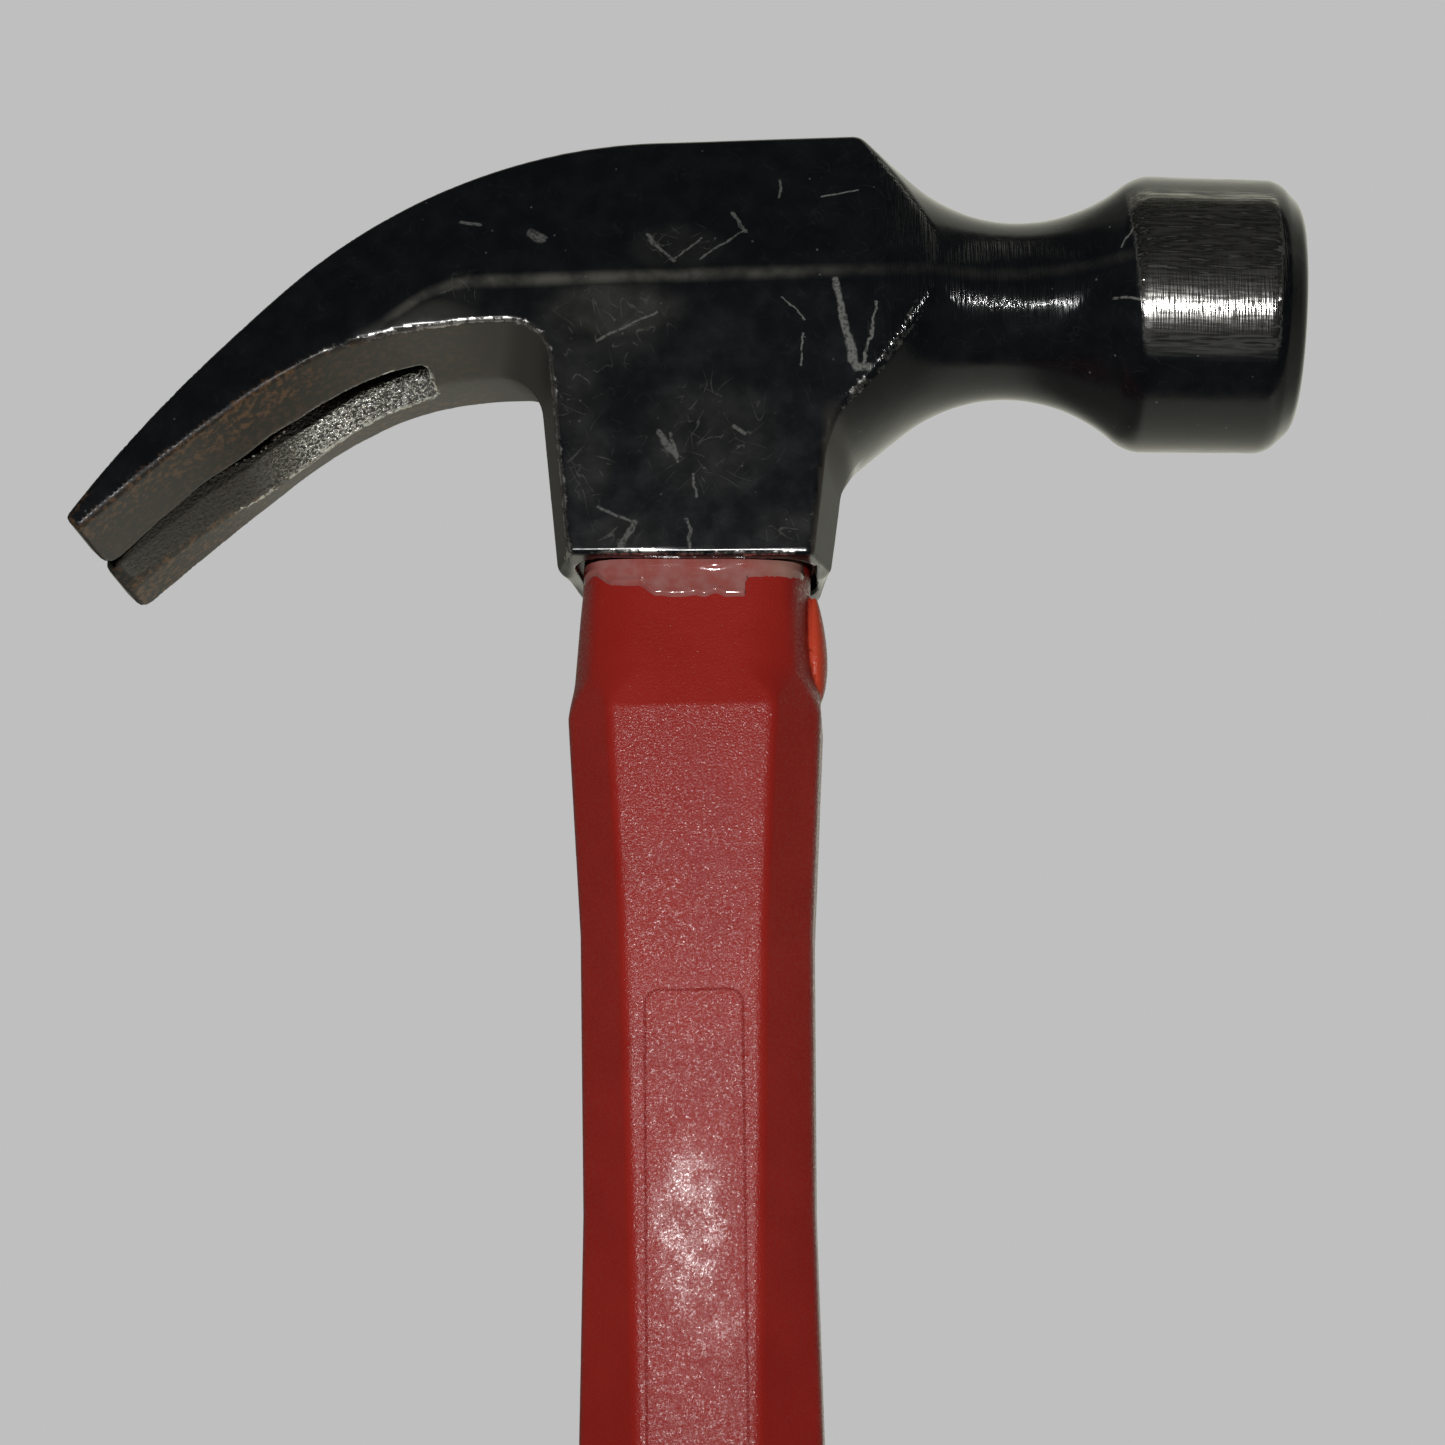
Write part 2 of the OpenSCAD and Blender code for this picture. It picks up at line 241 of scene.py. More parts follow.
def piece(name, points, faces, material, normals, masks=None):
    """A mesh object from points in the head's frame, riding on the root body."""
    mesh = bpy.data.meshes.new(name)
    points = (np.asarray(points) + [0.0, 0.0, RIDGE_Z]) * MM
    mesh.from_pydata(points.tolist(), [], [list(map(int, f)) for f in faces])
    mesh.polygons.foreach_set("use_smooth", [True] * len(mesh.polygons))
    for key, data in (masks or {}).items():
        layer = mesh.attributes.new(key, "FLOAT", "POINT")
        layer.data.foreach_set("value", np.asarray(data, np.float32))
    mesh.validate()
    mesh.update()
    mesh.normals_split_custom_set_from_vertices(normals.tolist())
    mesh.materials.append(material)
    ob = bpy.data.objects.new(name, mesh)
    bpy.context.scene.collection.objects.link(ob)
    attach(ob, "root")
    return ob


# ---------------------------------------------------------------- the head's shape

BACK, BACK_R = (-3.0, UPPER - 55.5), 55.5      # the claws' upper curve
BELLY, BELLY_R = (-21.0, -46.3), 41.5          # and their underside
BACK_TURN = math.radians(135.8)                # where straighter stretches take over
BELLY_TURN = math.radians(128.8)
TIP_BACK_R, TIP_BELLY_R = 242.5, 415.7
TIP_BACK = carried_on(BACK, BACK_R, BACK_TURN, TIP_BACK_R)
TIP_BELLY = carried_on(BELLY, BELLY_R, BELLY_TURN, TIP_BELLY_R)
TIP = (-64.4, -26.1)                           # upper edge of the claws' tips
RIDGE_HALF = 12.0                              # half thickness at the ridge line
CLAW_HALF = 14.0                               # widest half width of the claws
UPPER_SLOPE, CHEEK_SLOPE = 0.21, 0.059         # how fast the sides close in above and below the ridge
CLAW_SPREAD = 0.03                             # and how fast they widen towards the tips
THROAT_R = 4.7                                 # between the claws and the socket
THROAT_Z = BELLY[1] + BELLY_R - THROAT_R
WALL_LEFT = -14.6                              # claw side of the socket, under the throat
WALL_RIGHT = 15.7                              # poll side of the socket, under the flare
TILT_X, TILT = 19.0, math.radians(3.2)         # the poll's axis leans down
NECK_R, WAIST_X, HOLLOW_R = 9.45, 34.0, 17.5   # the waist's radius and place, and its hollow's radius
HOLLOW_RHO = NECK_R + HOLLOW_R
FLARE = math.radians(40.4)                     # slope of the cone from the neck to the cheeks
FLARE_X = WAIST_X - HOLLOW_R * math.sin(FLARE)
FLARE_RHO = HOLLOW_RHO - HOLLOW_R * math.cos(FLARE)
BELL_X, BELL_R = 46.5, 14.7
FACE_X, FACE_BEVEL, FACE_CROWN = 64.2, 2.9, 0.6
POLL_START = 11.0                              # where the poll ends, inside the socket block
NECK_ROUND, BEVEL_ROUND, FACE_ROUND = 1.2, 0.8, 0.6
TOP_ROUND, SIDE_ROUND, SLOT_ROUND, EYE_ROUND = 0.5, 0.55, 0.35, 0.4
TIP_ROUND = 2.3                                # where the slot runs out through the claws' tips
WAVE_HEIGHT, WAVE_RATE = 0.03, 0.12            # the forging's slight unevenness
SIDES_END = (28.0, 33.0)                       # over this stretch the side planes stop cutting
NO_CUT = -9.0                                  # a field's value where it is to cut nothing
EYE_X, EYE_Y, EYE_TOP_Y, EYE_CORNER = 12.4, 8.5, 6.3, 4.0
SLOT_ROOT = math.radians(101.1)                # angle about BELLY where the nail slot starts
SLOT_DEPTH = 7.0                               # depth at which its bevelled walls end
# Half widths of the slot's bevelled mouth along the claws, on the front claw and on the back one.
SLOT_X = (-64, -62, -60, -57, -54, -50, -46, -42, -37, -31, -28)
SLOT_FRONT = (1.4, 1.8, 2.3, 2.9, 4.2, 5.3, 6.2, 5.7, 5.0, 4.8, 4.3)
SLOT_BACK = (6.4, 6.6, 6.8, 6.9, 6.9, 7.0, 6.9, 6.6, 6.0, 5.2, 5.0)
SLOT_NARROW = 1.2                              # half width where it comes out on top
# Slope of the claws' underside, from their outer edges in to the middle.
CROWN_X = (-61, -57, -52, -47.5, -42, -37, -32, -29)
CROWN_SLOPE = (0.02, 0.035, 0.11, 0.24, 0.27, 0.2, 0.17, 0.15)


def along_poll(x, z):
    """Distance along the poll's leaning axis, and height above it."""
    c, s = math.cos(TILT), math.sin(TILT)
    return TILT_X + (x - TILT_X) * c - z * s, (x - TILT_X) * s + z * c


def turned(x, z, centre):
    """Angle about centre in the side view, from 0 to a full turn."""
    return np.arctan2(z - centre[1], x - centre[0]) % (2 * math.pi)


def back_line(x, z):
    """Positive above the flat top and the claws' upper curve."""
    curve = np.where(turned(x, z, BACK) < BACK_TURN, circle_side(x, z, BACK, BACK_R),
                     circle_side(x, z, TIP_BACK, TIP_BACK_R))
    return np.where(x > BACK[0], z - UPPER, curve)


def belly_line(x, z):
    """Positive below the outer edges of the claws' underside."""
    curve = np.where(turned(x, z, BELLY) < BELLY_TURN, circle_side(x, z, BELLY, BELLY_R),
                     circle_side(x, z, TIP_BELLY, TIP_BELLY_R))
    return np.where(x > BELLY[0], BELLY[1] + BELLY_R - z, -curve)


def side_planes(x, y, z):
    """Slanted upper sides that widen into the claws, over cheeks that taper to the mouth."""
    upper = np.abs(y) - (RIDGE_HALF - UPPER_SLOPE * z + CLAW_SPREAD * np.minimum(x + 13.0, 0.0))
    upper = both(upper, np.abs(y) - CLAW_HALF, 1.5)
    cheek = np.abs(y) - (RIDGE_HALF + CHEEK_SLOPE * z)
    past_cheek = 0.857 * (z + 1.5) - 0.515 * (x + 25.5)
    free = np.maximum(step(past_cheek, -2.4, 2.0), step(-x, 30.5, 38.5))
    side = both(upper, cheek, 0.7) * (1 - free) + upper * free
    return side - 8.0 * step(x, *SIDES_END)


def crown(x, y):
    """How far the underside's middle stands proud of its outer edges."""
    slope = np.interp(x, CROWN_X, CROWN_SLOPE)
    half = RIDGE_HALF + (CLAW_HALF - RIDGE_HALF) * step(-x, 32.0, 47.0)
    return slope * np.maximum(half - np.hypot(y, 0.8), 0.0)


def underside(x, y, z):
    """Positive below the claws' crowned underside, on the claw side of the socket's wall."""
    claws = belly_line(x, z) - crown(x, y) - 0.017 * (y + RIDGE_HALF)
    wall = WALL_LEFT + 0.095 * np.maximum(THROAT_Z - z, 0.0) - x
    return either(claws, wall - 0.18 * np.maximum(RIDGE_HALF - np.abs(y), 0.0), THROAT_R)


def right_wall(x, y, z):
    """Positive outside the socket's wall on the poll side."""
    return x - WALL_RIGHT - 0.142 * np.minimum(z + 18.0, 0.0) + 0.15 * np.abs(y)


def poll(x, y, z):
    """Flare, neck, bell and crowned face."""
    s, t = along_poll(x, z)
    rho = np.hypot(y, t)
    cone = (rho - FLARE_RHO) * math.cos(FLARE) - (FLARE_X - s) * math.sin(FLARE)
    neck = HOLLOW_R - np.hypot(s - WAIST_X, rho - HOLLOW_RHO)
    neck = np.where(s < FLARE_X, cone, neck)
    bell = rho - BELL_R + 0.0135 * (s - BELL_X)
    bevel = (rho + s - FACE_X - BELL_R + FACE_BEVEL) * math.sqrt(0.5)
    face_r = BELL_R - FACE_BEVEL
    crown_r = (face_r ** 2 + FACE_CROWN ** 2) / (2 * FACE_CROWN)
    face = np.hypot(s - FACE_X - FACE_CROWN + crown_r, rho) - crown_r
    bell = both(both(bell, bevel, BEVEL_ROUND), face, FACE_ROUND)
    bell = np.where(s > WAIST_X, bell, NO_CUT)
    return np.maximum(both(neck, bell, NECK_ROUND), POLL_START - s)


def eye(x, y, z):
    """Negative in the rounded eye, which narrows in depth from the socket's mouth to the top."""
    half_y = EYE_Y + (EYE_TOP_Y - EYE_Y) * (z - MOUTH) / (UPPER - MOUTH)
    return rounded_box(x, y, EYE_X, half_y, EYE_CORNER)


def nail_slot(x, y, z):
    """A bevelled groove in the claws' underside that narrows to a slot right through them."""
    groove = np.where(y < 0, softened(x, SLOT_X, SLOT_FRONT, 1.5), softened(x, SLOT_X, SLOT_BACK, 1.5))
    narrow = SLOT_NARROW + 0.3 * step(-x, 29.0, 60.0)
    thickness = -back_line(x, z) - belly_line(x, z)
    depth = np.clip(-underside(x, y, z) / np.clip(0.6 * thickness, 1.2, SLOT_DEPTH), -0.4, 1.0)
    walls = np.abs(y) - groove - (narrow - groove) * depth
    root = (SLOT_ROOT - turned(x, z, BELLY)) * BELLY_R - 1.3 * depth
    return both(walls * 0.85, root, 0.9)


def head_field(x, y, z):
    """The whole forging: socket block and poll, cut by the back, the sides, the nail slot and the eye."""
    mouth = MOUTH + 0.9 * step(y, -7.0, 7.0) - 0.03 * x - z
    mouth_round = 1.5 - 1.0 * step(np.abs(y), 2.0, 10.0)
    block = both(np.maximum(underside(x, y, z), right_wall(x, y, z)), mouth, mouth_round)
    body = either(block, poll(x, y, z), 0.3 + 1.9 * step(-z, 3.0, 13.0))
    tip = (TIP[0] - x + TIP[1] - z) * math.sqrt(0.5)
    side = both(side_planes(x, y, z), tip, 0.7 + 1.1 * step(y, -1.0, 1.0))
    body = both(both(body, back_line(x, z), TOP_ROUND), side, SIDE_ROUND)
    body = both(body, both(-nail_slot(x, y, z), tip, TIP_ROUND), SLOT_ROUND)
    body = both(body, -eye(x, y, z), EYE_ROUND)
    return body + WAVE_HEIGHT * lattice_noise(WAVE_RATE * x, WAVE_RATE * y, WAVE_RATE * z, 3)


# ---------------------------------------------------------------- the handle's shape

SHOULDER = -46.4                    # crisp edge where the neck's ramps end
SHIFT = 0.25                        # below the neck the jacket stands this far towards the claws
LABEL_TOP, LABEL_HALF, LABEL_L, LABEL_CORNER = -75.6, 4.85, 60.0, 1.4
ROD_X, ROD_Y, ROD_CORNER = 8.5, 4.3, 4.2
LUMP_END, LUMP_L = 44.8, 12.3       # how far down the flash lump reaches, and its length
LUMP_FROM = -45.0                   # the lump is only looked for above this height
LUMP_AT, LUMP_HALF = (12.25, -1.8), (1.25, 2.4)
UNDER_GRIP = 1.4                    # how much thinner the jacket is inside the grip
JACKET_LOW, JACKET_TOP = -307.5, -13.5
JACKET_SPLIT = -180.0               # hidden in the grip, where a coarser mesh takes over from the fine one
SPLIT_GAP = 0.2
JACKET_Z = (-308.0, -163.0, -119.0, -97.0, -69.0, SHOULDER, -32.0, -13.0)
JACKET_HALF_X = (12.5, 12.5, 11.9, 11.5, 11.8, 13.05, 12.0, 12.0)
JACKET_HALF_Y = (10.0, 10.0, 9.9, 10.1, 10.5, 10.8, 7.9, 7.3)
JACKET_FLAT = (5.6, 5.6, 5.9, 6.4, 7.1, 8.4, 8.9, 8.9)
JACKET_SIDE = (4.6, 4.6, 4.7, 4.8, 5.0, 5.4, 4.4, 4.0)


def jacket_size(z):
    """Half width, half depth, half width of the flats and half depth of the sides, at z."""
    tables = JACKET_HALF_X, JACKET_HALF_Y, JACKET_FLAT, JACKET_SIDE
    return [np.interp(z, JACKET_Z, table) for table in tables]


def jacket_body(x, y, z):
    """The moulded body: an octagon below the shoulder, ramps that soften above it."""
    half_x, half_y, flat, side = jacket_size(z)
    x = x + SHIFT * step(-z, 25.0, 35.0)
    under_grip = UNDER_GRIP * step(-z, 165.5, 167.0)
    half_x, half_y = half_x - under_grip, half_y - under_grip
    u, v = half_y - side, half_x - flat
    length = np.hypot(u, v)
    bevel = (np.abs(x) * u + np.abs(y) * v - flat * u - half_y * v) / length
    soft = 0.5 + 2.3 * step(z, SHOULDER, SHOULDER + 5.0)
    body = both(both(np.abs(y) - half_y, bevel, soft), np.abs(x) - half_x, soft)
    ends = np.abs(z - (JACKET_LOW + JACKET_TOP) / 2) - (JACKET_TOP - JACKET_LOW) / 2
    return both(body, ends, 0.4)


def label_edge(x, z):
    """Distance from the outline of the blank label panel, negative inside it."""
    return rounded_box(x + SHIFT, z - LABEL_TOP + LABEL_L / 2, LABEL_HALF, LABEL_L / 2, LABEL_CORNER)


def flash_lump(x, y, z):
    """A lump of flash that squeezed out of the mould's seam, on the poll side of the neck."""
    rise = np.clip((z + LUMP_END) / LUMP_L, 0.0, 1.0) ** 0.75
    bulge = np.sin(np.pi * rise) ** 0.7
    return np.hypot((x - LUMP_AT[0]) / LUMP_HALF[0], (y - LUMP_AT[1]) / LUMP_HALF[1]) - bulge


def jacket_field(x, y, z):
    """The jacket with its label groove and flash lump, hollow for the rod."""
    body = jacket_body(x, y, z)
    label = label_edge(x, z)
    groove = 0.03 * np.exp(-(label / 0.5) ** 2) + 0.02 * step(-label, -0.4, 0.8)
    body = body + np.where(y < 0, groove, 0.0)
    body = np.where(z > LUMP_FROM, either(body, 1.5 * flash_lump(x, y, z), 0.2), body)
    return np.maximum(body, -rounded_box(x, y, ROD_X, ROD_Y, ROD_CORNER))


FILM_LOW, FILM_TOP = -36.5, -21.5   # the stretch of the neck that the resin's mesh spans
FILM_BACK_EDGE = -31.6              # the run's lower edge on the back
FILM_BEAD = -31.0                   # height of the bead that stands along its middle
FILM_X = (-12.6, -10.3, -9.2, -8.6, -5.6, -3.9, -3.0, 5.3, 5.55, 9.8, 10.6, 12.0)
FILM_EDGE = (-31.0, -31.3, -32.4, -32.8, -33.2, -34.4, -34.5, -34.4, -32.2, -32.1, -31.6, -31.2)


def film_depth(x, y, z):
    """How thick the run of cast resin under the socket mouth stands on the jacket."""
    level = np.zeros_like(z)
    ragged = 0.3 * lattice_noise(0.9 * x, 0.3 * y, level, 11)
    edge = np.where(y < 0, np.interp(x, FILM_X, FILM_EDGE), FILM_BACK_EDGE) + ragged
    skin = 0.3 * step(z - edge, -0.1, 0.55) + 0.1 * np.exp(-(((z - edge - 0.5) / 0.35) ** 2))
    bead = 0.14 + 0.2 * lattice_noise(0.45 * x, 0.5 * y, level, 5)
    bead = np.maximum(bead, 0.0) * np.exp(-(((z - FILM_BEAD) / 0.45) ** 2))
    return skin + bead - 0.6 * np.maximum(step(edge - z, -0.05, 0.3), step(np.abs(x + 0.3), 11.2, 11.9))


def film_field(x, y, z):
    """The run of resin: a skin on the jacket that reaches a little way into it, so that no gap shows."""
    body = jacket_body(x, y, z)
    shell = np.maximum(0.85 * (body - film_depth(x, y, z)), -0.35 - body)
    ends = np.abs(z - (FILM_LOW + FILM_TOP) / 2) - (FILM_TOP - FILM_LOW) / 2
    return both(shell, ends, 0.2)


# ---------------------------------------------------------------- the grip's shape

GRIP_Z = (0.0, 16.0, 40.0, 84.0, 135.0, 145.0, 150.0)       # heights above the butt
GRIP_HALF_X = (17.0, 16.4, 14.6, 15.4, 14.0, 15.0, 13.6)
GRIP_HALF_Y = (14.2, 13.7, 12.4, 13.0, 11.9, 12.8, 11.4)
RIB_FROM, RIB_TO, RIB_GAP = 26.0, 128.0, 6.0
RIB_DEPTH, PANEL_DEPTH = 0.55, 0.3      # grooves between the ribs, and smooth panels front and back
BUTT_ROUND, TOP_EDGE_ROUND = 2.5, 1.2
HOLLOW_X, HOLLOW_Y, HOLLOW_FROM = 11.2, 8.6, 6.0            # the handle's hollow, from this height up


def grip_field(x, y, z):
    """A swelling rounded sleeve with shallow finger ribs, closed at the butt."""
    z = z + RIDGE_Z
    half_x, half_y = (softened(z, GRIP_Z, table, 3) for table in (GRIP_HALF_X, GRIP_HALF_Y))
    corner = half_y - 1.0
    u = np.maximum(np.abs(x) - half_x + corner, 0.0)
    v = np.maximum(np.abs(y) - half_y + corner, 0.0)
    sleeve = np.hypot(u, v) - corner
    ribbed = step(z, RIB_FROM, RIB_FROM + 2.0) * (1 - step(z, RIB_TO - 2.0, RIB_TO))
    wave = 0.5 - 0.5 * np.cos(2 * np.pi * (z - RIB_FROM) / RIB_GAP)
    sides = step(np.abs(x), 6.5, 8.5)
    groove = RIB_DEPTH * np.exp(-((1 - wave) / 0.35) ** 2) * ribbed * sides
    panel = PANEL_DEPTH * ribbed * (1 - step(np.abs(x), 5.4, 6.0))
    body = both(sleeve + groove + panel, -z + 0.1, BUTT_ROUND)
    body = both(body, z - GRIP_Z[-1], TOP_EDGE_ROUND)
    hollow = np.maximum(np.maximum(np.abs(x) - HOLLOW_X, np.abs(y) - HOLLOW_Y), HOLLOW_FROM - z)
    corner_cut = (np.abs(x) / HOLLOW_X + np.abs(y) / HOLLOW_Y - 1.5) * 6.4
    return np.maximum(body, -np.maximum(hollow, corner_cut))


# ---------------------------------------------------------------- materials

HAIR_WIDTH, HAIR_STRETCH = 0.014, 4.0      # width as a part of the noise's range


class Look:
    """A material's nodes, with short ways to add and join them."""

    def __init__(self, name):
        self.material = bpy.data.materials.new(name)
        self.material.use_nodes = True
        self.tree = self.material.node_tree
        self.tree.nodes.clear()
        self.shader = self.node("ShaderNodeBsdfPrincipled")
        output = self.node("ShaderNodeOutputMaterial")
        self.tree.links.new(self.shader.outputs[0], output.inputs["Surface"])
        place = self.node("ShaderNodeTexCoord").outputs["Object"]
        self.place = self.vector("MULTIPLY_ADD", place, (1 / MM,) * 3, (0.0, 0.0, -RIDGE_Z))
        split = self.node("ShaderNodeSeparateXYZ", self.place)
        self.x, self.y, self.z = split.outputs

    def node(self, kind, *inputs, **settings):
        made = self.tree.nodes.new(kind)
        for key, value in settings.items():
            setattr(made, key, value)
        for socket, value in zip(made.inputs, inputs):
            self.feed(socket, value)
        return made

    def feed(self, socket, value):
        """Links a node's output to the socket, or sets a plain value on it."""
        if isinstance(value, bpy.types.NodeSocket):
            self.tree.links.new(value, socket)
        elif value is not None:
            socket.default_value = value

    def set(self, name, value):
        if isinstance(value, tuple) and len(value) == 3:
            value = (*value, 1.0)
        self.feed(self.shader.inputs[name], value)

    def vector(self, operation, *inputs):
        return self.node("ShaderNodeVectorMath", *inputs, operation=operation).outputs[0]

    def measure(self, operation, *inputs):
        """Vector math whose result is a number."""
        return self.node("ShaderNodeVectorMath", *inputs, operation=operation).outputs["Value"]

    def point(self, x, y, z):
        return self.node("ShaderNodeCombineXYZ", x, y, z).outputs[0]

    def math(self, operation, *inputs):
        return self.node("ShaderNodeMath", *inputs, operation=operation).outputs[0]

    def times(self, *values):
        total = values[0]
        for value in values[1:]:
            total = self.math("MULTIPLY", total, value)
        return total

    def most(self, *values):
        total = values[0]
        for value in values[1:]:
            total = self.math("MAXIMUM", total, value)
        return total

    def ramp(self, value, low, high, start=0.0, end=1.0):
        """start where value is low, end where it is high, smooth in between."""
        made = self.node("ShaderNodeMapRange", value, low, high, start, end, interpolation_type="SMOOTHSTEP")
        return made.outputs[0]

    def noise(self, size, detail, seed, stretch=(1.0, 1.0, 1.0), turn=0.0, rough=0.55):
        """Noise with features about size mm across, from 0 to 1, stretched and turned about Y."""
        settings = self.place, (seed, 2 * seed, 3 * seed), (0.0, turn, 0.0), tuple(size * k for k in stretch)
        place = self.node("ShaderNodeMapping", *settings, vector_type="TEXTURE")
        made = self.node("ShaderNodeTexNoise")
        self.feed(made.inputs["Vector"], place.outputs[0])
        self.feed(made.inputs["Scale"], 1.0)
        self.feed(made.inputs["Detail"], detail)
        self.feed(made.inputs["Roughness"], rough)
        return made.outputs[0]

    def mix(self, amount, a, b):
        made = self.node("ShaderNodeMix", data_type="RGBA")
        self.feed(made.inputs[0], amount)
        for socket, value in zip((made.inputs[6], made.inputs[7]), (a, b)):
            self.feed(socket, (*value, 1.0) if isinstance(value, tuple) else value)
        return made.outputs[2]

    def value(self, amount, a, b):
        return self.node("ShaderNodeMix", amount, None, a, b).outputs[0]

    def bump(self, height, strength, distance, under=None):
        made = self.node("ShaderNodeBump")
        self.feed(made.inputs["Strength"], strength)
        self.feed(made.inputs["Distance"], distance)
        self.feed(made.inputs["Height"], height)
        if under is not None:
            self.feed(made.inputs["Normal"], under)
        return made.outputs[0]

    def band(self, value, middle, half):
        """1 where value is middle, falling to 0 half away from it."""
        return self.ramp(self.math("ABSOLUTE", self.math("SUBTRACT", value, middle)), 0.0, half, 1.0, 0.0)

    def hairs(self, size, seed, turn):
        """Fine wandering scratches that run along the turned X axis, in patches."""
        lines = self.band(self.noise(size, 0.5, seed, (HAIR_STRETCH, 1.0, 1.0), turn), 0.5, HAIR_WIDTH)
        return self.times(lines, self.ramp(self.noise(1.2 * size, 1.0, seed + 7.0), 0.48, 0.6))

    def near(self, x, z, radius_x, radius_z):
        """1 round a spot seen from the front or the back, falling to 0 at the given distances."""
        across = self.times(self.math("SUBTRACT", self.x, x), 1.0 / radius_x)
        down = self.times(self.math("SUBTRACT", self.z, z), 1.0 / radius_z)
        reach = self.math("ADD", self.times(across, across), self.times(down, down))
        return self.ramp(reach, 0.1, 1.0, 1.0, 0.0)

    def specks(self, gap, radius, seed):
        """Small round spots, one in each cell about gap mm across."""
        place = self.vector("ADD", self.place, (seed, seed, seed))
        cells = self.node("ShaderNodeTexVoronoi", feature="F1")
        self.feed(cells.inputs["Vector"], place)
        self.feed(cells.inputs["Scale"], 1.0 / gap)
        return self.ramp(cells.outputs["Distance"], 0.6 * radius / gap, radius / gap, 1.0, 0.0)

    def given(self, name):
        """One of the masks that the mesh carries."""
        return self.node("ShaderNodeAttribute", attribute_name=name).outputs["Fac"]


# Colours as linear red, green and blue.
FORGED_DARK, FORGED_PALE = (0.0036, 0.0041, 0.005), (0.0058, 0.0064, 0.0075)
EARTHY_DARK, EARTHY_PALE = (0.02, 0.0165, 0.012), (0.036, 0.032, 0.026)
RUST = (0.19, 0.095, 0.04)
# Pale grey for the painted highlight along the ridge and the scratch haze with painted sheen below it.
RIDGE_HIGHLIGHT_HAZE = (0.085, 0.082, 0.07)
SCRATCHED = (0.15, 0.15, 0.14)
BELL_WORN = (0.03, 0.03, 0.027)
# Near black for the painted shadow deep in the nail slot.
SLOT_SHADOW_PAINT = (0.003, 0.003, 0.003)
BARE_STEEL = (0.52, 0.51, 0.48)
GROUND_STEEL = (0.8, 0.79, 0.76)
RED_DARK, RED_PALE = (0.235, 0.0125, 0.009), (0.262, 0.0155, 0.011)
# Darker red for the painted shade in the label's groove.
RED_GROOVE_SHADE = (0.13, 0.007, 0.006)
RED_FLASH = (0.42, 0.045, 0.02)
RED_DUST = (0.75, 0.45, 0.42)
RESIN_CLEAR, RESIN_MILKY, RESIN_GREY = (0.25, 0.065, 0.055), (0.27, 0.115, 0.105), (0.27, 0.17, 0.13)
FIBRE_DARK, FIBRE_PALE = (0.30, 0.27, 0.16), (0.52, 0.49, 0.34)
RUBBER_NEW, RUBBER_WORN = (0.011, 0.011, 0.012), (0.026, 0.025, 0.024)
PAPER = (0.6, 0.6, 0.6)

# Larger scratches on the front: x and z of one end, x and z of the other, and half width, in mm.
SCRATCHES = (
    (15.2, -1.5, 15.9, -5.5, 0.42), (15.9, -5.5, 17.2, -11.0, 0.5), (19.3, -4.0, 18.0, -10.8, 0.16),
    (17.2, -11.0, 18.4, -11.0, 0.45), (5.9, 4.6, 4.4, 7.0, 0.16), (5.9, 4.8, 1.0, 1.4, 0.12),
    (-4.5, 4.6, -1.8, 1.3, 0.2), (-1.8, 1.5, 1.5, 4.0, 0.12), (-10.0, -7.4, -3.4, -4.4, 0.14),
    (9.7, -3.2, 12.0, -5.7, 0.1), (11.6, -7.2, 11.5, -10.6, 0.13), (14.0, 8.7, 17.8, 9.4, 0.1),
    (9.4, 11.0, 9.2, 8.8, 0.16), (-2.2, -17.6, -1.6, -20.6, 0.2), (-3.5, -17.4, -1.7, -20.0, 0.35),
    (0.2, -22.0, 0.4, -24.4, 0.14), (-7.4, -29.7, -5.9, -27.0, 0.35), (-9.6, -25.2, -6.4, -26.8, 0.16),
    (-0.6, -26.8, -0.4, -29.8, 0.2), (4.4, -17.0, 5.6, -17.8, 0.22), (44.0, -4.6, 56.5, -8.6, 0.14),
    (46.2, 3.0, 44.9, 0.8, 0.14), (47.3, 2.4, 46.2, 3.0, 0.16), (49.2, -1.0, 48.8, -5.6, 0.14),
    (54.0, -1.6, 53.8, -5.8, 0.16), (-16.6, 5.3, -15.7, 4.5, 0.55), (-24.3, 7.0, -22.3, 6.6, 0.22),
)
# Where the small scratches crowd: x and z of the middle, and how far they spread each way.
CLUSTERS = ((-9.0, -6.0, 8.5, 5.5), (-12.5, -13.0, 5.0, 6.0), (-10.5, -21.0, 3.0, 6.0), (-1.5, 3.0, 6.0, 3.5),
            (-7.0, -28.5, 5.0, 3.0), (10.0, -28.0, 4.5, 2.5), (2.0, -18.0, 9.0, 8.0), (-24.0, -2.0, 3.0, 3.5))


def scratch_marks(look):
    """Straight scratches, wavering a little, on the side that faces -Y."""
    waver = look.times(look.math("SUBTRACT", look.noise(2.2, 3.0, 3.0), 0.5), 1.6)
    place = look.point(look.math("ADD", look.x, waver), 0.0, look.z)
    total = 0.0
    for x0, z0, x1, z1, half in SCRATCHES:
        run = Vector((x1 - x0, 0.0, z1 - z0))
        offset = look.vector("SUBTRACT", place, (x0, 0.0, z0))
        share = look.measure("DOT_PRODUCT", offset, tuple(run / run.length_squared))
        share = look.node("ShaderNodeMath", share, 1.0, operation="MULTIPLY", use_clamp=True).outputs[0]
        nearest = look.point(look.times(share, run.x), 0.0, look.times(share, run.z))
        away = look.measure("DISTANCE", offset, nearest)
        total = look.most(total, look.ramp(away, 0.5 * half, 1.2 * half, 1.0, 0.0))
    return look.times(total, look.ramp(look.y, -3.0, -2.0, 1.0, 0.0))


